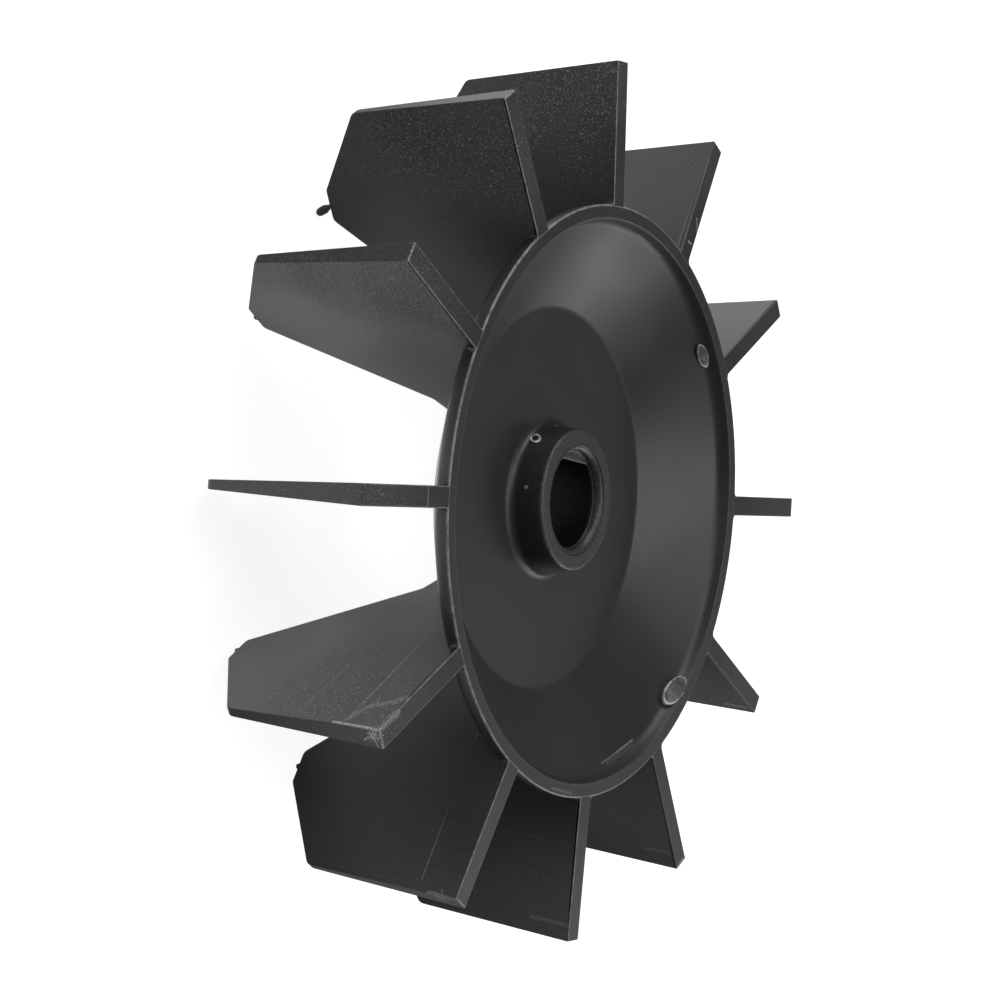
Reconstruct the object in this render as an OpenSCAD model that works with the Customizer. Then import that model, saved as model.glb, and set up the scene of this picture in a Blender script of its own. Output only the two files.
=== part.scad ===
// Cooling fan wheel for a small motor: twelve straight radial blades on a
// dished plate, with a hub that slides on a shaft with one flat.
// One injection moulding. It lies on its back, front side up, and the axis
// of the bore is the Z axis. Depths are measured back from the front plane.

/* [Wheel] */
// Diameter over the blade tips, at the front, mm
wheel_diameter = 135; // [128:1:145]
// Number of blades
blade_count = 12; // [8:1:14]

/* [Blades] */
// Depth of the blades, from the front plane to their rear feet, mm
blade_depth = 36.3; // [34:0.1:42]
// Depth at which the tip edge ends and the slanted rear edge starts, mm
tip_depth = 28.1; // [20:0.1:31]
// Draft of the tip edge, degrees
tip_draft = 5.6; // [2:0.1:8]
// How far the front corner of a tip lies behind the front plane, mm
tip_fall = 0.5; // [0:0.1:1.5]
// Thickness of a blade at its front edge, mm
front_thickness = 3.2; // [2:0.1:4]
// Thickness of a blade at its rear feet, mm
rear_thickness = 0.9; // [0.6:0.1:2]
// Radius from the axis to the outer end of a blade's rear foot, mm
foot_outer_radius = 52; // [50:0.1:56]
// Radius from the axis to the inner end of a blade's rear foot, mm
foot_inner_radius = 47; // [40:0.1:48.5]
// Radius from the axis to the bend in a blade's inner edge, mm
bend_radius = 30; // [28:0.1:33]
// Depth of the bend in a blade's inner edge, mm
bend_depth = 15.1; // [14:0.1:18]
// Radius from the axis to the toe where a blade runs out on the plate, mm
toe_radius = 23.5; // [19:0.1:26]
// Rounding of a blade's rear tip corner, mm
tip_corner = 1.4; // [0.5:0.1:3]
// Rounding of the two ends of a blade's rear foot, mm
foot_corner = 1.2; // [0.5:0.1:1.5]
// Rounding in the bend of a blade's inner edge, mm
bend_corner = 1.5; // [0.5:0.1:3]

/* [Dish] */
// Outside diameter of the rim, mm
rim_diameter = 90.8; // [86:0.1:95]
// Width of the flat front ring of the rim, mm
ring_width = 2.2; // [1.5:0.1:3]
// Depth of the step inside the rim, mm
step_depth = 1.8; // [1:0.1:3]
// How far the step leans inward over its depth, mm
step_lean = 0.7; // [0.2:0.1:1.2]
// Depth of the flat base of the dish, mm
dish_depth = 10; // [8:0.1:11]
// Diameter of the flat base of the dish, mm
base_diameter = 59.2; // [50:0.1:64]
// Wall thickness of the sloping part of the dish, mm
wall = 1.8; // [1.4:0.1:2.2]
// Thickness of the base of the dish, mm
base_thickness = 2.5; // [2:0.1:3]
// Rounding where the slope meets the step, mm
step_round = 2.4; // [0.5:0.1:3]
// Rounding of the outer rear edge of the rim, mm
rim_round = 2; // [0.5:0.1:2.2]
// Rounding where the slope meets the base, mm
base_round = 1.5; // [0.5:0.1:3]

/* [Hub] */
// Diameter of the hub's front face, mm
hub_diameter = 21.8; // [20.5:0.1:25]
// How far the hub's front face lies behind the front plane, mm
hub_recess = 4.45; // [3:0.05:6]
// How much the hub's radius grows from its face to its root, mm
hub_draft = 0.6; // [0.2:0.1:1.2]
// Fillet between the hub and the base of the dish, mm
hub_fillet = 1.4; // [0.8:0.1:2.5]
// Length of the hub, mm
hub_length = 14; // [12:0.1:17]
// Rounding of the rim of the hub's front face, mm
hub_round = 0.5; // [0.2:0.1:0.8]

/* [Bore] */
// Diameter of the bore, mm
bore_diameter = 15; // [14:0.1:16]
// Distance from the axis to the flat of the bore, mm
bore_flat = 6; // [5.5:0.1:6.6]
// Angle of the flat, clockwise from the first blade seen from the front, degrees
flat_angle = 6; // [0:1:30]
// Radial width of the lead-in at the bore's mouth, mm
lead_width = 1; // [0.5:0.1:1.4]
// Depth of the lead-in at the bore's mouth, mm
lead_depth = 1.35; // [0.5:0.05:2]

/* [Moulding marks] */
// Diameter of the small nib on each blade's rear foot, mm
nib_diameter = 0.8; // [0.6:0.1:1]
// Length of the one nib that was left long, mm
nib_long = 2.7; // [1:0.1:4]
// Length of the nibs that were trimmed, mm
nib_short = 0.5; // [0.2:0.1:0.9]
// Lean of the long nib towards the hub, degrees
nib_lean = 25; // [0:1:40]
// Radius from the axis to the nibs, mm
nib_radius = 49.3; // [49:0.1:49.6]
// Which blade carries the long nib, counted clockwise from the first
nib_blade = 11; // [0:1:13]
// Length of the small oval gate mark in the dish, mm
gate_length = 4.4; // [2:0.1:5]
// Width of the small gate mark, mm
gate_width = 1.8; // [1.2:0.1:3]
// Height of the small gate mark above the slope, mm
gate_height = 0.4; // [0.1:0.05:0.8]
// Radius from the axis to the middle of the small gate mark, mm
gate_radius = 42.1; // [38:0.1:42.3]
// Angle of the small gate mark, clockwise from the first blade, degrees
gate_angle = 55; // [48:1:57]
// Length of the large gate mark, mm
gate_large_length = 6.7; // [4:0.1:7]
// Width of the large gate mark, mm
gate_large_width = 3; // [2:0.1:3.4]
// Height of the large gate mark above the slope, mm
gate_large_height = 1; // [0.5:0.1:1.1]
// Radius from the axis to the middle of the large gate mark, mm
gate_large_radius = 42.5; // [40:0.1:42.8]
// Angle of the large gate mark, clockwise from the first blade, degrees
gate_large_angle = 135; // [130:1:138]

/* [Hidden] */
$fn = 96;
tip_radius = wheel_diameter / 2;
pitch = 360 / blade_count;
rim_radius = rim_diameter / 2;
ring_radius = rim_radius - ring_width;
slope_radius = ring_radius - step_lean;
base_radius = base_diameter / 2;
hub_face_radius = hub_diameter / 2;
bore_radius = bore_diameter / 2;
// angle of the sloping wall to the base plane
slope = atan2(dish_depth - step_depth, slope_radius - base_radius);
// a point on the back of the sloping wall, behind the foot of the step
back_radius = slope_radius + wall * sin(slope);
back_depth = step_depth + wall * cos(slope);
base_back = dish_depth + base_thickness;
base_back_radius = back_radius - (base_back - back_depth) / tan(slope);
rim_back = back_depth - (rim_radius - back_radius) * tan(slope);
// radius of the hub where it would meet the base, before the fillet
hub_root_radius = hub_face_radius + hub_draft;
hub_rear = hub_recess + hub_length;
tip_rear_radius = tip_radius - (tip_depth - tip_fall) * tan(tip_draft);
// the ball at the end of the long nib is a little wider than the nib
nib_ball = nib_diameter * 0.65;
nib_drop = nib_long * cos(nib_lean) + nib_ball;
// height of the front plane above what the wheel lies on
front_height = blade_depth + nib_drop;
// how far one shape reaches into another that it is fused with
bite = 0.4;
// a cut runs this far past a face that it opens
past = 1;
arc_steps = 8;
black = [0.045, 0.046, 0.048];

function unit(v) = v / norm(v);

// Points of an arc of radius r that rounds the corner b of the path a, b, c
function corner(a, b, c, r) =
    let (u = unit(a - b), w = unit(c - b),
         half = acos(u * w) / 2,
         centre = b + unit(u + w) * r / sin(half),
         from = b + u * r / tan(half) - centre,
         to = b + w * r / tan(half) - centre,
         start = atan2(from[1], from[0]),
         turn = (atan2(to[1], to[0]) - start + 540) % 360 - 180)
    [for (i = [0:arc_steps])
        centre + r * [cos(start + turn * i / arc_steps),
                      sin(start + turn * i / arc_steps)]];

// Half section of the dish and hub, radius against height; the front plane is 0
module dish_section() {
    slope_top = [slope_radius, -step_depth];
    slope_foot = [base_radius, -dish_depth];
    hub_root = [hub_root_radius, -dish_depth];
    hub_edge = [hub_face_radius, -hub_recess];
    ring_inner = [ring_radius, 0];
    rim_front = [rim_radius, 0];
    rim_rear = [rim_radius, -rim_back];
    slope_rear = [base_back_radius, -base_back];
    hub_back_root = [hub_face_radius, -base_back];
    hub_end = [hub_face_radius, -hub_rear];
    polygon(concat(
        [[0, -hub_recess]],
        corner([0, -hub_recess], hub_edge, hub_root, hub_round),
        corner(hub_edge, hub_root, slope_foot, hub_fillet),
        corner(hub_root, slope_foot, slope_top, base_round),
        corner(slope_foot, slope_top, ring_inner, step_round),
        [ring_inner, rim_front],
        corner(rim_front, rim_rear, slope_rear, rim_round),
        [slope_rear],
        corner(slope_rear, hub_back_root, hub_end, hub_round),
        corner(hub_back_root, hub_end, [0, -hub_rear], hub_round),
        [[0, -hub_rear]]));
}

// Outline of a blade seen square to its face, radius against height
module blade_outline() {
    rim_front = [rim_radius, 0];
    tip_front = [tip_radius, -tip_fall];
    tip_rear = [tip_rear_radius, -tip_depth];
    foot_outer = [foot_outer_radius, -blade_depth];
    foot_inner = [foot_inner_radius, -blade_depth];
    bend = [bend_radius, -bend_depth];
    toe = [toe_radius, -base_back];
    // the blade reaches half way into the wall that carries it
    in_base = dish_depth + base_thickness / 2;
    in_slope = back_radius - wall / 2 * sin(slope);
    in_slope_depth = back_depth - wall / 2 * cos(slope);
    polygon(concat(
        [rim_front, tip_front],
        corner(tip_front, tip_rear, foot_outer, tip_corner),
        corner(tip_rear, foot_outer, foot_inner, foot_corner),
        corner(foot_outer, foot_inner, bend, foot_corner),
        corner(foot_inner, bend, toe, bend_corner),
        [toe, [toe_radius, -in_base], [base_radius, -in_base],
         [in_slope, -in_slope_depth], [rim_radius - bite, -step_depth / 2]]));
}

// A blade along +X: the outline, thinned towards the rear by its draft
module blade() {
    intersection() {
        rotate([90, 0, 0])
            linear_extrude(height = front_thickness, center = true)
                blade_outline();
        rotate([90, 0, 90])
            linear_extrude(height = wheel_diameter)
                polygon([[-front_thickness / 2, 0], [front_thickness / 2, 0],
                         [rear_thickness / 2, -blade_depth],
                         [-rear_thickness / 2, -blade_depth]]);
    }
}

// The small nib under a blade's rear foot, left by the mould
module nib(number) {
    translate([nib_radius, 0, -blade_depth])
        if (number == min(nib_blade, blade_count - 1))
            rotate([0, 180 + nib_lean, 0]) {
                translate([0, 0, -bite])
                    cylinder(d = nib_diameter, h = nib_long + bite, $fn = 24);
                translate([0, 0, nib_long])
                    sphere(r = nib_ball, $fn = 24);
            }
        else
            translate([0, 0, -nib_short])
                cylinder(d = nib_diameter, h = nib_short + bite, $fn = 24);
}

// An oval mark on the slope, where the plastic entered the mould
module gate_mark(angle, length, width, height, radius) {
    mark_depth = step_depth + (slope_radius - radius) * tan(slope);
    rotate([0, 0, -angle])
        translate([0, radius, -mark_depth])
            rotate([slope, 0, 0])
                translate([0, 0, -bite])
                    scale([length / width, 1, 1])
                        cylinder(d = width, h = height + bite, $fn = 32);
}

// What the shaft fills: a round bore with one flat, and its lead-in
module bore_cut() {
    difference() {
        translate([0, 0, -hub_rear - past])
            cylinder(r = bore_radius, h = hub_length + past * 2);
        rotate([0, 0, -flat_angle])
            translate([-bore_radius, bore_flat, -hub_rear - past * 2])
                cube([bore_diameter, bore_radius, hub_length + past * 4]);
    }
    translate([0, 0, -hub_recess - lead_depth])
        cylinder(r1 = bore_radius, r2 = bore_radius + lead_width, h = lead_depth);
    translate([0, 0, -hub_recess])
        cylinder(r = bore_radius + lead_width, h = past);
}

module fan_wheel() {
    color(black)
    translate([0, 0, front_height])
        difference() {
            union() {
                rotate_extrude() dish_section();
                for (i = [0:blade_count - 1])
                    rotate([0, 0, 90 - i * pitch]) {
                        blade();
                        nib(i);
                    }
                gate_mark(gate_angle, gate_length, gate_width,
                          gate_height, gate_radius);
                gate_mark(gate_large_angle, gate_large_length, gate_large_width,
                          gate_large_height, gate_large_radius);
            }
            bore_cut();
        }
}

fan_wheel();
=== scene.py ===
import bpy
import numpy as np
from mathutils import Matrix, Vector


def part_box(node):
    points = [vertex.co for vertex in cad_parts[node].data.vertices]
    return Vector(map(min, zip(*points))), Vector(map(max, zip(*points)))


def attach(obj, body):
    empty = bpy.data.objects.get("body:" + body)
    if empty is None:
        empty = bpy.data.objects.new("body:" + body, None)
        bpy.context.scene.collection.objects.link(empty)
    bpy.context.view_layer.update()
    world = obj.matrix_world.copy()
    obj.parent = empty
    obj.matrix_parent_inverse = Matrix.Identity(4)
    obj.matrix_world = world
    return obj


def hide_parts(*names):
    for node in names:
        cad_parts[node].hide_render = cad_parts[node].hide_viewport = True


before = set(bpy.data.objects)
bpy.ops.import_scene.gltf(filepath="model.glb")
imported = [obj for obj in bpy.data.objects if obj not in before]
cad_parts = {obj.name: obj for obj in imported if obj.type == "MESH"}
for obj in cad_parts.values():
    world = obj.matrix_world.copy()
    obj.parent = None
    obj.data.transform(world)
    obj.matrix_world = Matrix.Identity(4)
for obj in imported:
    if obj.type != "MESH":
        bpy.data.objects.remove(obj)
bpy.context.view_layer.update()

# The dished plate with its rim and hub.
# The middle of one injection moulding in black plastic: a flat ring, a step,
# a sloping wall, a flat base, and a hub with a bore that has one flat.
MM = 0.001
front_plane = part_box("fan_wheel")[1][2]

rim_radius = 45.4
slope_radius = 42.55
slope_top = -1.80
base_front = -10.0
base_back = -12.5
hub_front = -4.45
hub_rear = -18.45
bore_shoulder = -5.80
bore_radius = 7.42
bore_flat = 6.0
flat_angle = np.radians(90 - 6)
# painted shade in the bore: how dark the mouth of the bore is painted, and over what
# depth the bore is painted dark
mouth_shade = 0.8
bore_shade_depth = 0.5

arc_steps = 5
arc_margin = 0.15
plate_spacing = 2.6
plate_turns = 240
# angle between the columns at and beside each end of the flat
flat_end = 0.006
# radius, height against the front plane, rounding, strength of the mould line, which
# below zero is painted shade
plate_corners = np.array([
    (8.50, hub_front, 0.05, -mouth_shade),
    (10.90, hub_front, 0.50, 0.08),
    (11.50, base_front, 1.40, 0.0),
    (29.60, base_front, 1.50, 0.0),
    (slope_radius, slope_top, 2.40, 0.0),
    (43.25, 0.0, 0.18, 0.20),
    (rim_radius, 0.0, 0.20, 1.0),
    (rim_radius, -2.09, 2.00, 0.0),
    (29.00, base_back, 0.50, 0.0),
    (10.90, base_back, 0.40, 0.0),
    (10.90, hub_rear, 0.40, 0.0),
    (7.60, hub_rear, 0.05, 0.0),
    (7.50, bore_shoulder, 0.05, 0.0),
])
# the last two corners only give directions; the bore's path takes their place
guide_corners = 2
# share of the bore's own radius, what is added to it, height
bore_path = np.array([
    (1.0, 0.30, hub_rear),
    (1.0, 0.15, hub_rear),
    (1.0, 0.0, -18.30),
    (1.0, 0.0, -18.10),
    (1.0, 0.0, -14.0),
    (1.0, 0.0, -10.0),
    (1.0, 0.0, -6.30),
    (1.0, 0.0, -5.88),
    (0.9, 0.75, -5.81),
    (0.5, 3.75, bore_shoulder),
    (0.1, 6.75, bore_shoulder),
    (0.0, 7.50, -5.78),
    (0.0, 7.56, -5.48),
    (0.0, 7.66, -5.17),
    (0.0, 7.80, -4.92),
    (0.0, 7.97, -4.73),
    (0.0, 8.14, -4.62),
    (0.0, 8.27, -4.57),
    (0.0, 8.33, -4.62),
])


def unit(vectors):
    """Each row divided by its own length."""
    return vectors / np.linalg.norm(vectors, axis=1, keepdims=True)


def rounded(corners):
    """A closed path whose corners are arcs, as rows of x, y and mould line, which below
    zero is painted shade.

    The arc at corner b, between unit vectors u and w towards its neighbours,
    has its centre on the bisector, radius / sin(half angle) from b. Its spokes
    turn evenly from the first touching point to the second. A point at the
    margin beyond each arc keeps the flat stretches flat.
    """
    b, radius, line_and_shade = corners[:, :2], corners[:, 2], corners[:, 3]
    u = unit(np.roll(b, 1, 0) - b)
    w = unit(np.roll(b, -1, 0) - b)
    half = np.arccos((u * w).sum(1)) / 2
    centre = b + unit(u + w) * (radius / np.sin(half))[:, None]
    reach = (radius / np.tan(half))[:, None]
    turn = (np.pi - 2 * half)[:, None, None]
    share = np.linspace(0, 1, arc_steps + 1)[None, :, None]
    arc = centre[:, None] + (
        np.sin((1 - share) * turn) * (b + u * reach - centre)[:, None]
        + np.sin(share * turn) * (b + w * reach - centre)[:, None]
    ) / np.sin(turn)
    before = (b + u * (reach + arc_margin))[:, None]
    after = (b + w * (reach + arc_margin))[:, None]
    path = np.concatenate([before, arc, after], axis=1)
    weight = np.zeros(path.shape[:2] + (1,))
    weight[:, 1:-1, 0] = line_and_shade[:, None]
    return np.concatenate([path, weight], axis=2).reshape(-1, 3)


def refined(path, spacing, closed=True):
    """The path with each stretch cut into equal parts no longer than spacing."""
    step = np.roll(path, -1, 0) - path
    parts = np.ceil(np.hypot(step[:, 0], step[:, 1]) / spacing).astype(int)
    if not closed:
        parts[-1] = 1
    first = np.repeat(np.cumsum(parts) - parts, parts)
    share = (np.arange(parts.sum()) - first) / np.repeat(parts, parts)
    return np.repeat(path, parts, 0) + np.repeat(step, parts, 0) * share[:, None]


def sheet_faces(rows, columns, first, close_rows, cap):
    """Corner numbers of the faces of a grid whose columns run in a ring.

    close_rows joins the last row to the first; cap closes the first and the
    last row with one flat face each.
    """
    row = np.arange(rows if close_rows else rows - 1)[:, None]
    column = np.arange(columns)[None, :]
    row_on, column_on = (row + 1) % rows, (column + 1) % columns
    quads = np.stack([row * columns + column, row * columns + column_on,
                      row_on * columns + column_on, row_on * columns + column],
                     axis=-1).reshape(-1, 4) + first
    faces = quads.tolist()
    if cap:
        faces.append((first + np.arange(columns))[::-1].tolist())
        faces.append((first + (rows - 1) * columns + np.arange(columns)).tolist())
    return faces


def shell(name, sheets, close_rows=False, cap=True):
    """One object from grids of points in millimetres, rows by columns by 4 or 5.

    The fourth number is the strength of the mould line at that point, which
    below zero is painted shade, and the fifth, where there is one, the share of
    the grain. Heights are against the front plane, and a grid whose volume comes
    out negative is turned, so that its faces point outwards.
    """
    points, faces, first = [], [], 0
    for grid in sheets:
        rows, columns = grid.shape[:2]
        flat = grid.reshape(-1, grid.shape[-1])
        new = sheet_faces(rows, columns, first, close_rows, cap)
        quads = np.array([f for f in new if len(f) == 4]) - first
        a, b, c, d = (flat[quads[:, k], :3] for k in range(4))
        volume = (np.cross(a, b) * c).sum() + (np.cross(a, c) * d).sum()
        if cap:
            for f in new[-2:]:
                ring = flat[np.array(f) - first, :3]
                fan = np.cross(ring[0][None], ring[1:-1]) * ring[2:]
                volume += fan.sum()
        faces += [f[::-1] for f in new] if volume < 0 else new
        points.append(flat)
        first += len(flat)
    points = np.concatenate(points)
    mesh = bpy.data.meshes.new(name)
    place = points[:, :3] * MM + (0, 0, front_plane)
    mesh.from_pydata(place.tolist(), [], faces)
    extra = np.c_[points, np.ones(len(points))][:, 3:5].astype(np.float32)
    for label, values in zip(("mould_line_and_shade", "grained"), extra.T):
        mesh.attributes.new(label, "FLOAT", "POINT").data.foreach_set(
            "value", np.ascontiguousarray(values))
    mesh.shade_smooth()
    piece = bpy.data.objects.new(name, mesh)
    bpy.context.collection.objects.link(piece)
    return piece


# the mould line is drawn weaker towards positive x, partly as thinner flash and partly as
# painted shade where the line catches less light: the share that is missing, and the x
# from which on it is
flash_shade_share = 0.72
flash_shade_full_x = 34.0
# further in than this, the attribute marks the hub's edge and the painted shade of the
# bore, which have nothing to do with flash
rim_zone = 40.0


def flash_after_shade(x):
    """Share of the flash that is left after its painted shade: 1, less a part that grows
    evenly with x.
    """
    return 1 - flash_shade_share * np.clip(x / flash_shade_full_x, 0, 1)


def plate_grid():
    """The half section turned round the axis: x = r cos a, y = r sin a.

    In the bore the radius depends on the angle too: it is the bore's radius,
    or the distance to the flat divided by the cosine of the angle off it,
    which counts as at least 0.1, far past the ends of the flat.
    """
    end = np.arccos(bore_flat / bore_radius)
    beside = flat_angle + np.array([-1, 1])[:, None] * (
        end + np.array([-flat_end, 0, flat_end]))[None]
    angle = np.linspace(0, 2 * np.pi, plate_turns, endpoint=False)
    angle = np.unique(np.r_[angle, beside.ravel() % (2 * np.pi)])[:, None]
    flat = bore_flat / np.maximum(np.cos(angle - flat_angle), 0.1)
    own = np.minimum(bore_radius, flat)
    points_per_corner = arc_steps + 3
    outer = refined(rounded(plate_corners)[:-guide_corners * points_per_corner],
                    plate_spacing, closed=False)
    radius = np.concatenate([np.repeat(outer[None, :, 0], len(angle), 0),
                             own * bore_path[:, 0] + bore_path[:, 1]], axis=1)
    height = np.r_[outer[:, 1], bore_path[:, 2]][None] + 0 * radius
    # painted shade in the bore: darker with depth past the shoulder, and at the mouth,
    # stored below zero
    dark = np.clip((bore_shoulder - bore_path[:, 2]) / bore_shade_depth, 0, 1)
    dark[-1] = mouth_shade
    x = radius * np.cos(angle)
    line_and_shade = np.r_[outer[:, 2], -dark][None]
    line_and_shade = line_and_shade * np.where(radius > rim_zone, flash_after_shade(x), 1)
    return np.stack([x, radius * np.sin(angle), height, line_and_shade], axis=-1)


def socket_group(name, inputs, outputs):
    """An empty shader group with the named sockets, and the wiring for it."""
    group = bpy.data.node_groups.new(name, "ShaderNodeTree")
    for label, kind, value in inputs:
        socket = group.interface.new_socket(label, in_out="INPUT", socket_type=kind)
        if value is not None:
            socket.default_value = value
    for label, kind in outputs:
        group.interface.new_socket(label, in_out="OUTPUT", socket_type=kind)
    return group, Wiring(group)


class Wiring:
    """Short calls that add nodes to a tree and join them."""

    def __init__(self, tree):
        self.tree = tree

    def node(self, kind, inputs=(), **settings):
        """A new node: a socket given as an input is linked, anything else is set."""
        made = self.tree.nodes.new(kind)
        for key, value in settings.items():
            setattr(made, key, value)
        for key, value in dict(inputs).items():
            if isinstance(value, bpy.types.NodeSocket):
                self.tree.links.new(value, made.inputs[key])
            else:
                made.inputs[key].default_value = value
        return made

    def math(self, operation, *values, clamp=False):
        made = self.node("ShaderNodeMath", dict(enumerate(values)),
                         operation=operation, use_clamp=clamp)
        return made.outputs[0]

    def vector(self, operation, *values, out=0):
        """out is 0 for a vector and 1 for a number."""
        made = self.node("ShaderNodeVectorMath", dict(enumerate(values)),
                         operation=operation)
        return made.outputs[out]

    def step(self, value, low, high, to_low=0.0, to_high=1.0):
        """Value eased from to_low at low to to_high at high."""
        made = self.node("ShaderNodeMapRange",
                         {0: value, 1: low, 2: high, 3: to_low, 4: to_high},
                         interpolation_type="SMOOTHSTEP")
        return made.outputs[0]

    def mix(self, share, first, second):
        made = self.node("ShaderNodeMix", {0: share, 6: first, 7: second},
                         data_type="RGBA")
        return made.outputs[2]

    def noise(self, vector, scale, detail=2.0, roughness=0.5):
        made = self.node("ShaderNodeTexNoise",
                         {"Vector": vector, "Scale": scale, "Detail": detail,
                          "Roughness": roughness})
        return made.outputs[0]

    def group(self, tree, **inputs):
        return self.node("ShaderNodeGroup", inputs, node_tree=tree).outputs

    def ends(self):
        """What a group is given, and what it gives back."""
        return (self.node("NodeGroupInput").outputs,
                self.node("NodeGroupOutput").inputs)


# spark eroded grain: fine noise, painted glints on the grains that stand highest, and
# painted shade in the pits
grain_group, w = socket_group(
    "spark_grain",
    [("Vector", "NodeSocketVector", None), ("Size", "NodeSocketFloat", 0.0003)],
    [("Height", "NodeSocketFloat"), ("Painted Glint", "NodeSocketFloat"),
     ("Painted Pit Shade", "NodeSocketFloat")])
given, result = w.ends()
per_metre = w.math("DIVIDE", 1.0, given["Size"])
grit = w.noise(given["Vector"], per_metre, 2.5, 0.6)
w.tree.links.new(grit, result["Height"])
w.tree.links.new(w.step(grit, 0.57, 0.72), result["Painted Glint"])
w.tree.links.new(w.step(grit, 0.46, 0.34), result["Painted Pit Shade"])

# slow clouding of the gloss, from flow in the mould and from handling
cloud_group, w = socket_group(
    "gloss_clouds",
    [("Vector", "NodeSocketVector", None), ("Size", "NodeSocketFloat", 0.02)],
    [("Cloud", "NodeSocketFloat")])
given, result = w.ends()
per_metre = w.math("DIVIDE", 1.0, given["Size"])
haze = w.noise(given["Vector"], per_metre, 1.0, 0.5)
w.tree.links.new(w.step(haze, 0.3, 0.7), result["Cloud"])

# a scratch or witness line between two points: 1 on the line, broken by noise
# that has to be above Breaks, which it passes over a narrow band
break_band = 0.07
scratch_group, w = socket_group(
    "scratch_line",
    [("Vector", "NodeSocketVector", None), ("From", "NodeSocketVector", None),
     ("To", "NodeSocketVector", None), ("Width", "NodeSocketFloat", 0.0001),
     ("Breaks", "NodeSocketFloat", 0.4), ("Noise", "NodeSocketFloat", 0.5)],
    [("Mask", "NodeSocketFloat")])
given, result = w.ends()
along = w.vector("SUBTRACT", given["To"], given["From"])
away = w.vector("SUBTRACT", given["Vector"], given["From"])
share = w.math("DIVIDE", w.vector("DOT_PRODUCT", away, along, out=1),
               w.vector("DOT_PRODUCT", along, along, out=1), clamp=True)
foot = w.node("ShaderNodeVectorMath", {0: along, 3: share},
              operation="SCALE").outputs[0]
distance = w.vector("LENGTH", w.vector("SUBTRACT", away, foot), out=1)
near = w.math("DIVIDE", distance, given["Width"])
hold = w.step(given["Noise"], w.math("SUBTRACT", given["Breaks"], break_band),
              w.math("ADD", given["Breaks"], break_band))
w.tree.links.new(w.math("MULTIPLY", w.step(near, 1.0, 0.4), hold), result["Mask"])

# a rubbed or gouged patch round a point, ragged at its edge: the nearness to
# the point and the noise together have to pass a level set by Cover
patch_group, w = socket_group(
    "rubbed_patch",
    [("Vector", "NodeSocketVector", None), ("Centre", "NodeSocketVector", None),
     ("Reach", "NodeSocketFloat", 0.002), ("Cover", "NodeSocketFloat", 0.5),
     ("Noise", "NodeSocketFloat", 0.5)],
    [("Mask", "NodeSocketFloat")])
given, result = w.ends()
distance = w.vector("DISTANCE", given["Vector"], given["Centre"], out=1)
inside = w.math("SUBTRACT", 1.0, w.math("DIVIDE", distance, given["Reach"]), clamp=True)
level = w.math("MULTIPLY_ADD", inside, 0.5, given["Noise"])
edge = w.math("MULTIPLY_ADD", given["Cover"], -0.5, 1.0)
w.tree.links.new(w.math("MULTIPLY", w.step(level, edge, w.math("ADD", edge, 0.12)),
                        w.step(inside, 0.0, 0.25)), result["Mask"])


def on_wheel(radius, clock, height):
    """A place in metres: x = r sin a, y = r cos a, a clockwise from blade 0.

    The radius and the height are given in millimetres, the angle in degrees.
    """
    turn = np.radians(clock)
    return (radius * np.sin(turn) * MM, radius * np.cos(turn) * MM,
            front_plane + height * MM)


def grey(tone, blue=1.0):
    """A colour of that tone, its blue part times blue."""
    return tone, tone, tone * blue, 1


# the direction across the wheel in which the grain gets coarser, and the
# distances along it between which it does
coarse_side = (-1.0, 0.45, 0.0)
coarse_from, coarse_to = 0.005, 0.045
# between these depths behind the front plane, the grain falls to this share
weak_from, weak_to = 0.018, 0.028
weak_grain = 0.25


def grown_grain(w, place, grain):
    """The grain's masks, the share in which it has grown, and two more masks.

    The share is the product of five: the distance from the axis between the
    two that are given, the place between the finer and the coarser side, the
    clouds, the depth behind the front plane, and the piece's own attribute.
    The first and the clouds also tint the black, so they are given back.
    """
    level = w.vector("MULTIPLY", place, (1.0, 1.0, 0.0))
    amount = w.step(w.vector("LENGTH", level, out=1), grain["none_at"], grain["full_at"])
    grains = w.group(grain_group, Vector=place, Size=grain["size"])
    towards = w.vector("DOT_PRODUCT", place, coarse_side, out=1)
    cloud = w.group(cloud_group, Vector=place)["Cloud"]
    coarseness = w.step(towards, coarse_from, coarse_to, grain["finer"], grain["coarser"])
    grown = w.math("MULTIPLY", amount, coarseness)
    grown = w.math("MULTIPLY", grown, w.math("MULTIPLY_ADD", cloud, 0.9, 0.5))
    height = w.vector("DOT_PRODUCT", place, (0.0, 0.0, 1.0), out=1)
    grown = w.math("MULTIPLY", grown, w.step(height, front_plane - weak_to,
                                             front_plane - weak_from, weak_grain, 1.0))
    grown = w.math("MULTIPLY", grown, w.node("ShaderNodeAttribute",
                                             attribute_name="grained").outputs["Fac"])
    return grains, grown, amount, cloud


# scratches thinner than this, and patches that cover more than this share,
# are broken by the coarser noise
thin_scratch = 0.0002
dense_patch = 0.5


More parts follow.
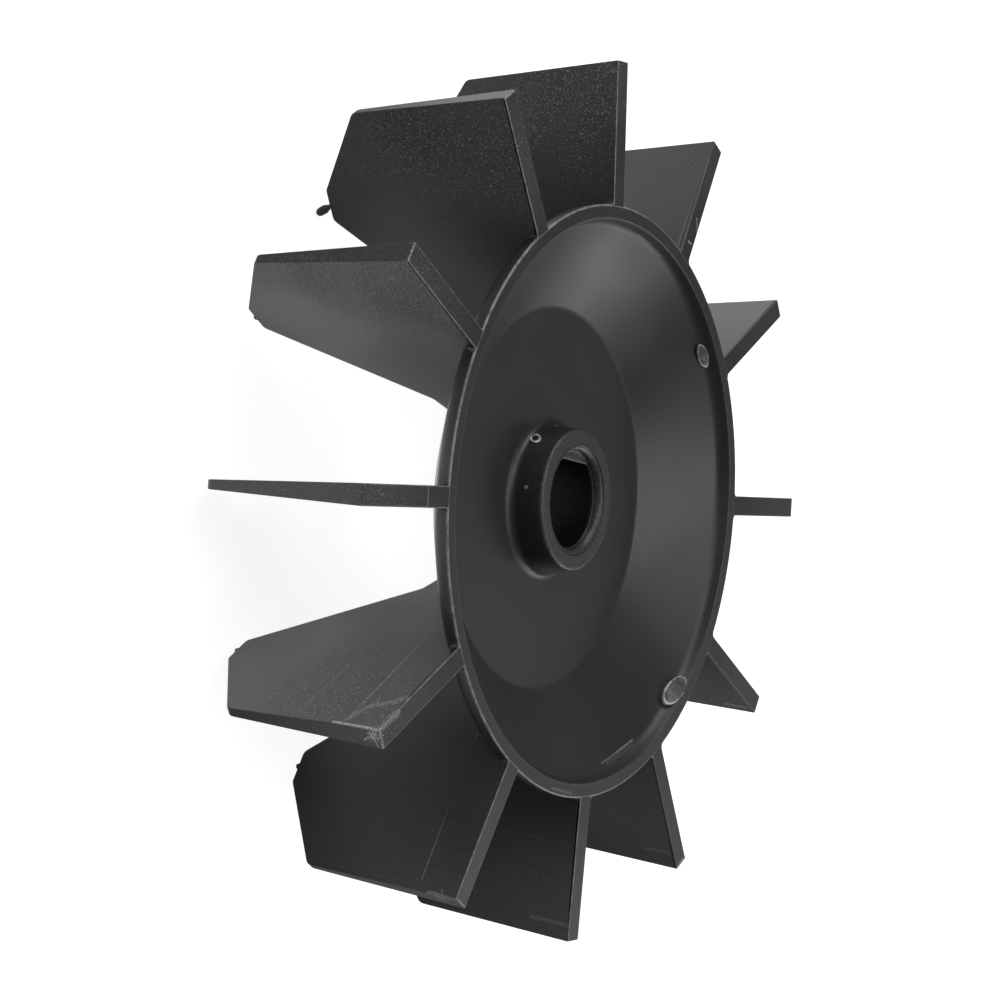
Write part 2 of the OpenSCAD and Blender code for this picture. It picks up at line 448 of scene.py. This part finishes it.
def worn_marks(w, place, line_and_shade, lines, patches):
    """The strongest at each place of the mould line, the scratches and the rubs.

    A scratch is its start, end, width, breaks and strength, and a patch its
    centre, reach, cover and strength, with lengths in metres.
    """
    ragged = w.noise(place, 700.0, 3.0, 0.65)
    coarse = w.noise(place, 1400.0, 3.0, 0.7)
    fine = w.noise(place, 4500.0, 2.0, 0.6)
    marks = w.math("MULTIPLY", w.math("MAXIMUM", line_and_shade, 0.0),
                   w.step(ragged, 0.35, 0.6, 0.2, 0.5))
    for start, end, width, breaks, strength in lines:
        noise = coarse if width < thin_scratch else fine
        mask = w.group(scratch_group, Vector=place, From=start, To=end,
                       Width=width, Breaks=breaks, Noise=noise)["Mask"]
        marks = w.math("MAXIMUM", marks, w.math("MULTIPLY", mask, strength))
    for centre, reach, cover, strength in patches:
        noise = fine if cover < dense_patch else coarse
        mask = w.group(patch_group, Vector=place, Centre=centre, Reach=reach,
                       Cover=cover, Noise=noise)["Mask"]
        marks = w.math("MAXIMUM", marks, w.math("MULTIPLY", mask, strength))
    return w.math("MINIMUM", marks, 1.0)


# tones are shares of white, and shine is the shader's specular level
black_blue = 1.03
# the pit tone paints shade in the grain's pits, the glint tone paints glints on its
# highest grains, and the deep tone and shine paint shade in the bore
pit_shade_tone = 0.005
painted_glint_tone = 0.26
bore_shade_tone = 0.004
plain_shine, bore_shade_shine = 0.5, 0.12
plastic_ior = 1.49


def black_moulding(name, tones, grain, gloss, lines, patches, bore_shaded=False):
    """Black plastic with grain, clouds, mould lines, scratches and rubs.

    tones are the darkest and the lightest black. grain is its size, depth and
    painted glint, the two distances from the axis at which there is none and at
    which it is full, and its strength on the finer and on the coarser side of
    the wheel. Where the bore is shaded, the mould line attribute below zero is
    painted shade deep in the bore.
    """
    material = bpy.data.materials.new(name)
    material.use_nodes = True
    tree = material.node_tree
    tree.nodes.clear()
    w = Wiring(tree)
    place = w.node("ShaderNodeTexCoord").outputs["Object"]
    grains, grown, amount, cloud = grown_grain(w, place, grain)
    line_and_shade = w.node("ShaderNodeAttribute", attribute_name="mould_line_and_shade").outputs["Fac"]
    marks = worn_marks(w, place, line_and_shade, lines, patches)
    dark, light = (grey(tone, black_blue) for tone in tones)
    share = w.math("MULTIPLY_ADD", cloud, 0.35, w.math("MULTIPLY", amount, 0.65))
    black = w.mix(share, dark, light)
    # painted shade in the grain's pits
    black = w.mix(w.math("MULTIPLY", w.math("MULTIPLY", grains["Painted Pit Shade"], grown), 0.6,
                         clamp=True), black, grey(pit_shade_tone))
    # painted glints on the grain's highest grains
    black = w.mix(w.math("MULTIPLY", w.math("MULTIPLY", grains["Painted Glint"], grown),
                         grain["painted_glint"], clamp=True), black, grey(painted_glint_tone))
    colour = w.mix(marks, black, w.step(marks, 0.7, 1.0, 0.42, 0.62))
    shine = plain_shine
    if bore_shaded:
        # painted shade deep in the bore: the attribute below zero darkens the colour and
        # lowers the shine
        bore_shade_share = w.math("MULTIPLY", line_and_shade, -1.0, clamp=True)
        colour = w.mix(bore_shade_share, colour, grey(bore_shade_tone))
        shine = w.step(bore_shade_share, 0.0, 1.0, plain_shine, bore_shade_shine)
    rough = w.math("ADD", w.step(cloud, 0.0, 1.0, gloss - 0.03, gloss + 0.05),
                   w.math("MULTIPLY", marks, 0.2), clamp=True)
    raised = w.math("MULTIPLY", w.math("MULTIPLY", grains["Height"], grown),
                    grain["depth"])
    bump = w.node("ShaderNodeBump", {"Strength": 1.0, "Distance": 1.0,
                                     "Height": raised}).outputs[0]
    shader = w.node("ShaderNodeBsdfPrincipled",
                    {"Base Color": colour, "Roughness": rough, "Normal": bump,
                     "IOR": plastic_ior, "Specular IOR Level": shine})
    w.node("ShaderNodeOutputMaterial", {0: shader.outputs[0]})
    return material


# smooth, with grain only on the hub's end and in its bore
plate = shell("wheel_plate", [plate_grid()], close_rows=True, cap=False)
plate.data.materials.append(black_moulding(
    "smooth_black_moulding", tones=(0.016, 0.026), gloss=0.38,
    grain={"size": 0.0004, "depth": 0.00008, "painted_glint": 0.35,
           "none_at": 0.0114, "full_at": 0.0106, "finer": 1.0, "coarser": 1.0},
    lines=[
        (on_wheel(42.7, 12, -1.5), on_wheel(42.6, 18, -1.6), 0.0003, 0.5, 0.5),
        (on_wheel(42.4, 17, -1.8), on_wheel(42.6, 24, -1.6), 0.0003, 0.52, 0.4),
        (on_wheel(41.8, 154, -2.25), on_wheel(41.6, 161, -2.40), 0.00024, 0.40, 0.30),
        (on_wheel(41.6, 161, -2.40), on_wheel(41.7, 168, -2.32), 0.00022, 0.43, 0.22),
        (on_wheel(42.1, 155, -2.05), on_wheel(42.0, 166, -2.10), 0.0007, 0.40, 0.06),
        (on_wheel(44.7, 186, 0.0), on_wheel(44.6, 194, 0.0), 0.0003, 0.36, 0.16),
    ], patches=[
        (on_wheel(11.41, 355.7, -8.28), 0.0005, 0.8, 0.6),
        (on_wheel(11.27, 278.6, -7.24), 0.0004, 0.8, 0.5),
    ], bore_shaded=True))
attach(plate, "root")
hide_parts("fan_wheel")

# The twelve blades.
# Straight tapered slabs, square to the axis, moulded in one with the plate;
# fine grain on their faces, and a thin line of flash along their front edges.
blade_count = 12
tip_radius = 67.5
blade_depth = 36.3
front_half = 1.6
rear_half = 0.45
edge_round = 0.15
blade_spacing = 1.2
# width of the strips that keep the faces and the edges flat beside the rounding
face_margin = 0.25
edge_margin = 0.10
# the flash ends between these heights
flash_none, flash_full = -1.3, -0.8
# radius, height against the front plane, rounding, and no mould line, because
# the edge section carries the flash
blade_corners = np.array([
    (45.15, -0.005, 0.05, 0.0),
    (tip_radius, -0.5, 0.18, 0.0),
    (64.79, -28.1, 1.4, 0.0),
    (52.0, -blade_depth, 1.2, 0.0),
    (47.0, -blade_depth, 1.2, 0.0),
    (30.0, -15.1, 1.5, 0.0),
    (23.5, -12.5, 0.5, 0.0),
    (23.5, -11.25, 0.5, 0.0),
    (29.3, -11.25, 0.8, 0.0),
    (44.4, -1.6, 0.5, 0.0),
    (44.9, -0.5, 0.1, 0.0),
])
# how far each tip leans sideways and lies off its height, from the first on
blade_lean = np.array([0.4, 0.8, 0.3, 0.0, -0.4, -0.3, 0.1, -1.1, -0.1, 0.0, 0.0, 0.0])
blade_drop = np.array([-0.4, -0.7, 0.2, 0.4, 0.3, 0.2, -0.3, -1.3, -0.3, 0.3, 0.3, 0.0])
# from the face over the rounding to the edge: flash, and share of the grain
half_flash = np.array([0.0, 0.0, 0.8, 1.0, 0.8, 0.3, 0.0])
half_grained = np.array([1.0, 1.0, 0.9, 0.7, 0.5, 0.35, 0.35])


def half_thickness(height):
    """Half a blade's thickness: it shrinks evenly with the depth."""
    return front_half + (rear_half - front_half) * -height / blade_depth


def past_rim(radius):
    """Share of the way from the rim to the tips, 0 on the plate."""
    return np.clip((radius - rim_radius) / (tip_radius - rim_radius), 0, None)


def by_blade(number, radius, across, height, out=0.0):
    """x, y and height of points given along, across and down a blade.

    x = r cos a - c sin a and y = r sin a + c cos a, where a is a quarter turn
    for the first blade and less for each that follows clockwise. Across and
    height first take out's share of the lean and the drop of the blade's tip.
    """
    across = across - blade_lean[number] * out
    height = height + blade_drop[number] * out
    turn = np.radians(90 - number * 360 / blade_count)
    return (radius * np.cos(turn) - across * np.sin(turn),
            radius * np.sin(turn) + across * np.cos(turn), height)


def mirrored_half(values):
    """Values for one half of a section and, turned round, for the other."""
    return np.r_[values, values[::-1]][:, None]


def blade_grid(number):
    """One blade: an edge section carried round the blade's outline.

    Going across, each row is the outline drawn in by an inset, at a distance
    from the middle plane. The distance is half the thickness, less what the
    rounded edge has fallen: edge_round times 1 - cos a, where the inset is
    edge_round times 1 - sin a. The blade then leans by a share of its tip's
    lean that grows evenly from the rim to the tip.
    """
    outline = refined(rounded(blade_corners), blade_spacing)[:, :2]
    tangent = np.roll(outline, -1, 0) - np.roll(outline, 1, 0)
    outward = unit(np.stack([-tangent[:, 1], tangent[:, 0]], axis=1))
    area = (outline * np.roll(outline, -1, 0)[:, ::-1] * (1, -1)).sum()
    outward *= -np.sign(area)
    turn = np.radians(np.linspace(0, 90, 5))
    inset = np.r_[edge_round + face_margin, edge_round * (1 - np.sin(turn)), 0.0]
    fall = np.r_[0.0, edge_round * (1 - np.cos(turn)), edge_round + edge_margin]
    side = np.repeat([1.0, -1.0], len(inset))[:, None]
    place = outline[None] - outward[None] * mirrored_half(inset)[..., None]
    radius, height = place[..., 0], place[..., 1]
    across = side * (half_thickness(height) - mirrored_half(fall))
    front = (outline[None, :, 1] - flash_none) / (flash_full - flash_none)
    line_and_shade = mirrored_half(half_flash) * np.clip(front, 0, 1)
    x, y, height = by_blade(number, radius, across, height, past_rim(radius))
    return np.stack([x, y, height, line_and_shade * flash_after_shade(x),
                     mirrored_half(half_grained) + 0 * x], axis=-1)


def on_blade(number, radius, height, side):
    """A place in metres on a blade's face; side is 1 or -1 across."""
    x, y, height = by_blade(number, radius, side * half_thickness(height), height,
                            past_rim(radius))
    return x * MM, y * MM, front_plane + height * MM


# height, length of the arms and shift towards the axis of each level
root_levels = np.array([(-0.012, 0.84, 0.0), (-0.04, 0.92, 0.0), (-0.12, 0.97, 0.0),
                        (-0.30, 1.0, 0.0), (-0.80, 0.95, 0.0), (-1.2, 0.8, 0.06),
                        (-1.6, 0.55, 0.22), (-1.9, 0.3, 0.42), (-2.1, 0.1, 0.65)])
root_round = 0.5
root_steps = 7
# about twice the rim's radius: the wall falls away by across squared over this
rim_curve = 90.0
# how far the fillet is sunk into the wall and the face, and how far inside the
# wall and the face its closing points lie
sunk_in_wall, sunk_in_face = 0.03, 0.01
inside_wall, inside_face = 0.4, 0.3
# the flash starts at this height and grows by this much a millimetre
root_flash_none, root_flash_rate = -0.2, 6.0


def root_grid(number, side):
    """The fillet between one face of a blade and the rim, as level sections.

    A section is an arc that touches the face and the rim's wall, closed by two
    points inside the plastic. Each level scales it and shifts it.
    """
    height, arm, shift = (root_levels[:, k:k + 1] for k in range(3))
    arm = arm * root_round
    half = half_thickness(height)
    turn = np.linspace(-np.pi / 2, -np.pi, root_steps)[None]
    radial = rim_radius - shift + arm + arm * np.cos(turn)
    across = half + arm + arm * np.sin(turn)
    radial = radial - (across - half) ** 2 / rim_curve - sunk_in_wall
    inner = rim_radius - inside_wall - shift
    radial = np.concatenate([radial, inner, inner], axis=1)
    across = side * np.concatenate([across - sunk_in_face, half + arm,
                                    half - inside_face], axis=1)
    front = np.clip((height - root_flash_none) * root_flash_rate, 0, 1)
    line_and_shade = front * np.r_[np.ones(root_steps), 0, 0][None]
    x, y, height = by_blade(number, radial, across, height + 0 * radial)
    return np.stack([x, y, height, line_and_shade * flash_after_shade(x)], axis=-1)


blades = shell("wheel_blades", [blade_grid(i) for i in range(blade_count)])
roots = shell("wheel_blade_roots", [root_grid(i, side) for i in range(blade_count)
                                    for side in (-1, 1)])
# with three scratches more the blades came out pure black, without a message,
# so they have to be looked at after each that is added
blades.data.materials.append(black_moulding(
    "grained_black_moulding", tones=(0.009, 0.030), gloss=0.44,
    grain={"size": 0.00026, "depth": 0.00011, "painted_glint": 0.7,
           "none_at": 0.042, "full_at": 0.062, "finer": 0.38, "coarser": 2.9},
    lines=[
        # the long thin lines along blades 7 and 8, at depths of about 7 and 14 mm, are
        # lighter lines drawn with the scratch group
        (on_blade(7, 41.0, -7.0, -1), on_blade(7, 65.0, -7.4, -1), 0.00012, 0.36, 0.38),
        (on_blade(7, 67.4, -0.5, -1), on_blade(7, 67.4, -0.5, 1), 0.0004, 0.48, 0.5),
        (on_blade(7, 66.9, -5.5, -1), on_blade(7, 67.4, -1.0, -0.8), 0.0004, 0.40, 0.4),
        (on_blade(8, 30.3, -13.7, -1), on_blade(8, 64.4, -15.7, -1), 0.00014, 0.45, 0.25),
        (on_blade(8, 40.3, -6.7, -1), on_blade(8, 65.4, -7.0, -1), 0.00012, 0.3, 0.45),
        (on_blade(8, 65.4, -7.0, -1), on_blade(8, 63.4, -6.3, -1), 0.0005, 0.5, 0.5),
        (on_blade(8, 63.4, -6.3, -1), on_blade(8, 61.6, -5.2, -1), 0.0006, 0.5, 0.5),
        (on_blade(8, 61.6, -5.2, -1), on_blade(8, 60.4, -2.3, -1), 0.0008, 0.5, 0.5),
        (on_blade(8, 60.4, -2.3, -1), on_blade(8, 59.1, -1.2, -1), 0.0009, 0.5, 0.5),
        (on_blade(8, 66.2, -8.9, -1), on_blade(8, 67.3, -0.6, -1), 0.0004, 0.44, 0.9),
        (on_blade(8, 67.2, -0.5, -1), on_blade(8, 62.4, -0.5, -0.8), 0.0008, 0.5, 0.6),
        (on_blade(8, 67.4, -0.5, -1), on_blade(8, 67.4, -0.5, 1), 0.0004, 0.46, 0.7),
        (on_blade(6, 64.4, -7.4, -1), on_blade(6, 65.0, -0.5, -1), 0.0004, 0.34, 0.15),
        (on_blade(5, 64.1, -5.7, -1), on_blade(5, 64.3, -1.0, -1), 0.0004, 0.34, 0.14),
        (on_blade(5, 67.4, -0.5, -0.8), on_blade(5, 67.3, -0.5, 0.4), 0.0007, 0.47, 0.5),
        (on_blade(4, 65.1, -4.9, -1), on_blade(4, 65.6, -1.6, -1), 0.0006, 0.30, 0.45),
        (on_blade(1, 53.0, -0.2, -0.1), on_blade(1, 51.4, -0.2, -0.8), 0.0003, 0.47, 0.5),
        (on_blade(1, 48.4, -0.1, -0.4), on_blade(1, 48.2, -0.1, 0.2), 0.0003, 0.46, 0.6),
        (on_blade(9, 50.8, -0.1, -1), on_blade(9, 50.8, -0.1, 1), 0.00015, 0.4, 0.35),
        (on_blade(10, 67.4, -0.5, -1), on_blade(10, 67.4, -0.5, 1), 0.00025, 0.42, 0.5),
        (on_blade(11, 67.4, -0.5, -1), on_blade(11, 67.4, -0.5, 1), 0.00025, 0.42, 0.6),
        (on_blade(8, 67.3, -1.1, -0.6), on_blade(8, 67.1, -3.5, 0.3), 0.00025, 0.44, 1.0),
        (on_blade(8, 67.2, -2.4, -0.9), on_blade(8, 67.3, -1.3, 0.8), 0.00021, 0.44, 1.0),
    ], patches=[
        (on_blade(8, 67.3, -1.7, -0.3), 0.0030, 0.30, 1.0),
        (on_blade(8, 67.3, -0.9, -0.9), 0.0020, 0.32, 0.9),
        (on_blade(7, 67.1, -3.7, -0.5), 0.0016, 0.6, 0.4),
    ]))
roots.data.materials.append(blades.data.materials[0])
for piece in (blades, roots):
    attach(piece, "root")
    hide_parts("fan_wheel")

# The nibs under the blades' rear feet.
# Cold slugs left by the mould's ejector holes: one is still long and bent over
# with a swollen end, and the others were snapped off short.
nib_radius = 49.3
nib_turns = 20
nib_wave = 0.08
long_nib = 11
long_lean = 25
# distance along the nib, radius, both in millimetres
long_profile = np.array([(-0.4, 0.55), (0.0, 0.42), (0.3, 0.36), (0.8, 0.48),
                         (1.4, 0.64), (2.0, 0.72), (2.5, 0.70), (2.8, 0.60),
                         (3.0, 0.46), (3.08, 0.30), (3.12, 0.10)])
short_profile = np.array([(-0.4, 0.5), (0.0, 0.45), (0.15, 0.41), (0.35, 0.40),
                          (0.46, 0.36), (0.5, 0.27), (0.5, 0.08)])


def nib_grid(number):
    """A small turned form round a straight path leaning towards the hub.

    The ring at distance d has the profile's radius, times 1 plus a small wave
    of the angle and the distance that makes a snapped end uneven.
    """
    profile = long_profile if number == long_nib else short_profile
    lean = np.radians(long_lean if number == long_nib else 0)
    turn = np.linspace(0, 2 * np.pi, nib_turns, endpoint=False)[None]
    far, thick = profile[:, :1], profile[:, 1:]
    thick = thick * (1 + nib_wave * np.sin(2 * turn + number) * np.sin(3 * far + 1))
    radius = nib_radius - far * np.sin(lean) + thick * np.cos(turn) * np.cos(lean)
    height = -blade_depth - far * np.cos(lean) - thick * np.cos(turn) * np.sin(lean)
    x, y, height = by_blade(number, radius, thick * np.sin(turn), height,
                            past_rim(nib_radius))
    return np.stack([x, y, height, 0 * height], axis=-1)


nibs = shell("wheel_nibs", [nib_grid(i) for i in range(blade_count)])
nibs.data.materials.append(blades.data.materials[0])
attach(nibs, "root")
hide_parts("fan_wheel")

# The two gate marks on the slope, and a small blister on the hub's side.
# Where the plastic was injected, cut off rough: an oval pad with a torn edge.
slope_angle = np.radians(32.4)
hub_side_angle = np.radians(-83.8)
blister_height = -8.54
# angle clockwise, radius, length, width, height, twist in degrees, and how
# far the bright edge fades to one side
gates = [(54.9, 42.1, 4.4, 1.85, 0.45, 4.3, 0.30),
         (135.4, 42.6, 6.7, 3.0, 1.05, -10.2, 0.30)]
gate_seeds = (4, 9)
blister = (323.0, 11.45, 2.3, 1.8, 0.12, 32.0, 0.0)
blister_seed = 3
pad_turns = 72
# waves in the outline, as a share of its radius, and two sets in the height, in
# millimetres, of which the second also grows from the middle outwards
outline_waves = 0.03
height_waves = (0.07, 0.05)


def pad_grid(mark, tilt, height, profile, seed):
    """An oval pad on a sloping face, in rings from its foot to its middle.

    A ring is an ellipse, its radius and height given by the profile. Its edge
    is uneven: the radius and height carry a few waves of the angle with random
    phases.
    """
    clock, radius, length, width, rise, twist, fade = mark
    draw = np.random.default_rng(seed)
    turn = np.linspace(0, 2 * np.pi, pad_turns, endpoint=False)[None]
    waves = np.arange(2, 9)[:, None]
    phase = draw.uniform(0, 2 * np.pi, (3, len(waves), 1))
    size = draw.normal(0, 1, (3, len(waves), 1)) / waves
    uneven = (size * np.sin(waves * turn + phase)).sum(1)
    share, lift, torn, line_and_shade = (profile[:, k:k + 1] for k in range(4))
    out = share * (1 + outline_waves * uneven[0])
    level = rise * lift + torn * (height_waves[0] * uneven[1]
                                  + height_waves[1] * uneven[2] * share)
    along = out * length / 2 * np.cos(turn)
    upward = out * width / 2 * np.sin(turn)
    spin = np.radians(twist)
    along, upward = (along * np.cos(spin) - upward * np.sin(spin),
                     along * np.sin(spin) + upward * np.cos(spin))
    a = np.radians(clock)
    radial = np.array([np.sin(a), np.cos(a), 0])
    side = np.array([np.cos(a), -np.sin(a), 0])
    axis = np.array([0, 0, 1.0])
    slope_up = radial * np.cos(tilt) + axis * np.sin(tilt)
    normal = axis * np.cos(tilt) - radial * np.sin(tilt)
    place = (radial * radius + axis * height + along[..., None] * side
             + upward[..., None] * slope_up + level[..., None] * normal)
    strength = line_and_shade * (1 - fade + fade * np.cos(turn))
    return np.concatenate([place, strength[..., None]], axis=-1)


# share of the oval's radius, share of its height, raggedness, mould line; below zero, as
# in the blister's middle, it is darkened and its shine lowered by the nodes that paint
# the bore's shade
pad_profile = np.array([(1.06, -1.2, 0, 0.0), (1.05, 0.0, 0.2, 0.1),
                        (1.03, 0.45, 0.5, 0.4), (1.0, 0.85, 1.0, 2.8),
                        (0.96, 1.05, 1.4, 4.2), (0.91, 1.03, 1.2, 2.0),
                        (0.86, 0.92, 0.8, 0.7), (0.78, 0.86, 0.5, 0.6),
                        (0.6, 0.86, 0.5, 0.5), (0.4, 0.88, 0.6, 0.6),
                        (0.2, 0.86, 0.4, 0.5), (0.05, 0.86, 0.2, 0.5)])
blister_profile = np.array([(1.05, -1.2, 0, 0.0), (1.0, 0.2, 0.1, 1.6),
                            (0.94, 0.8, 0.2, 2.2), (0.84, 1.0, 0.3, 2.2),
                            (0.72, 1.0, 0.3, 2.2), (0.62, 0.8, 0.2, 1.4),
                            (0.52, 0.3, 0.1, 0.0), (0.3, 0.1, 0.0, -0.4),
                            (0.08, 0.1, 0.0, -0.4)])


def slope_height(radius):
    """Height of the sloping wall: down from its top by its angle's tangent."""
    return slope_top - (slope_radius - radius) * np.tan(slope_angle)


pads = [pad_grid(gate, slope_angle, slope_height(gate[1]), pad_profile, seed)
        for gate, seed in zip(gates, gate_seeds)]
pads.append(pad_grid(blister, hub_side_angle, blister_height, blister_profile,
                     blister_seed))
marks = shell("wheel_gate_marks", pads)
marks.data.materials.append(plate.data.materials[0])
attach(marks, "root")
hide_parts("fan_wheel")

# The floor: a white table top, with the wheel's soft shadow on it. To glossy rays
# it glows bright and dark by place, a painted reflection for the plastic.
floor_half = 3.0
floor_tone = 0.5
floor_glow = 0.85
floor_mesh = bpy.data.meshes.new("floor")
floor_mesh.from_pydata([(-floor_half, -floor_half, 0), (floor_half, -floor_half, 0),
                        (floor_half, floor_half, 0), (-floor_half, floor_half, 0)],
                       [], [(0, 1, 2, 3)])
floor = bpy.data.objects.new("floor", floor_mesh)
bpy.context.collection.objects.link(floor)
floor_white_with_painted_reflections = bpy.data.materials.new("floor_white_with_painted_reflections")
floor_white_with_painted_reflections.use_nodes = True
floor_white_with_painted_reflections.node_tree.nodes.clear()
w = Wiring(floor_white_with_painted_reflections.node_tree)
path = w.node("ShaderNodeLightPath").outputs
spot = w.node("ShaderNodeSeparateXYZ",
              {0: w.node("ShaderNodeTexCoord").outputs["Object"]}).outputs
# painted reflection: the glow that the plastic mirrors is painted by place, bright along
# the x axis, where x and y are above zero, and where both are well below it, and dark
# elsewhere
band = w.step(w.math("ABSOLUTE", spot[1]), 0.045, 0.015)
side = w.math("MULTIPLY", w.step(spot[0], -0.045, 0.005), w.step(spot[1], 0.01, 0.05))
corner = w.math("MULTIPLY", w.step(spot[0], -0.05, -0.08), w.step(spot[1], -0.05, -0.08))
painted_bright = w.math("MAXIMUM", w.math("MAXIMUM", band, side), corner)
painted_reflection = w.math("MULTIPLY_ADD", painted_bright, 1.05, 0.06)
mirrored = w.math("MAXIMUM", path["Is Glossy Ray"], path["Is Transmission Ray"])
matt = w.node("ShaderNodeBsdfDiffuse", {"Color": grey(floor_tone)})
seen = w.math("MAXIMUM", w.math("MULTIPLY", path["Is Camera Ray"], floor_glow),
              w.math("MULTIPLY", mirrored, painted_reflection))
glow = w.node("ShaderNodeEmission", {"Color": grey(1), "Strength": seen})
both = w.node("ShaderNodeAddShader", {0: matt.outputs[0], 1: glow.outputs[0]})
w.node("ShaderNodeOutputMaterial", {0: both.outputs[0]})
floor_mesh.materials.append(floor_white_with_painted_reflections)

# Light: a pale room and large soft boxes, at a level that shows colours as written.
room_strength = 0.18
world = bpy.data.worlds.new("pale_room")
world.use_nodes = True
room = world.node_tree.nodes["Background"].inputs
room["Color"].default_value = grey(1)
room["Strength"].default_value = room_strength
bpy.context.scene.world = world

wheel_middle = (0, 0, 0.03)


def soft_box(name, place, size, radiance):
    """A square area lamp at place, facing the wheel; radiance 1 looks white."""
    lamp = bpy.data.lights.new(name, "AREA")
    lamp.size = size
    lamp.energy = radiance * np.pi * size * size
    holder = bpy.data.objects.new(name, lamp)
    bpy.context.collection.objects.link(holder)
    holder.location = place
    facing = Vector(wheel_middle) - Vector(place)
    holder.rotation_euler = facing.to_track_quat("-Z", "Y").to_euler()


soft_box("overhead_box", (0.03, 0.0, 0.83), 0.5, 2.5)
soft_box("back_left_box", (-0.364, 0.364, 0.643), 0.5, 2.15)
soft_box("back_box", (0.0, 0.742, 0.33), 0.5, 3.1)
soft_box("front_right_box", (0.56, -0.48, 0.31), 0.5, 2.15)
soft_box("right_box", (0.638, -0.232, 0.454), 0.5, 0.3)
soft_box("low_left_box", (-0.74, 0.0, 0.14), 0.3, 0.7)

# The camera looks at the front of the wheel from 61 degrees off its axis.
camera_data = bpy.data.cameras.new("camera")
camera_data.sensor_width = 36.0
camera_data.lens = 119.47
camera_data.shift_x = -0.00056
camera_data.shift_y = -0.0109
camera_data.clip_start = 0.01
camera = bpy.data.objects.new("camera", camera_data)
bpy.context.collection.objects.link(camera)
eye = Vector((-0.44628, 0.00724, front_plane + 0.24366))
looks = Vector((0.86250, -0.01225, -0.50591)).normalized()
top = Vector((-0.01764, 0.99837, -0.05425))
right = looks.cross(top).normalized()
up = right.cross(looks)
camera.matrix_world = Matrix.Translation(eye) @ Matrix(
    (right, up, -looks)).transposed().to_4x4()
bpy.context.scene.camera = camera
bpy.context.scene.view_settings.view_transform = "Standard"
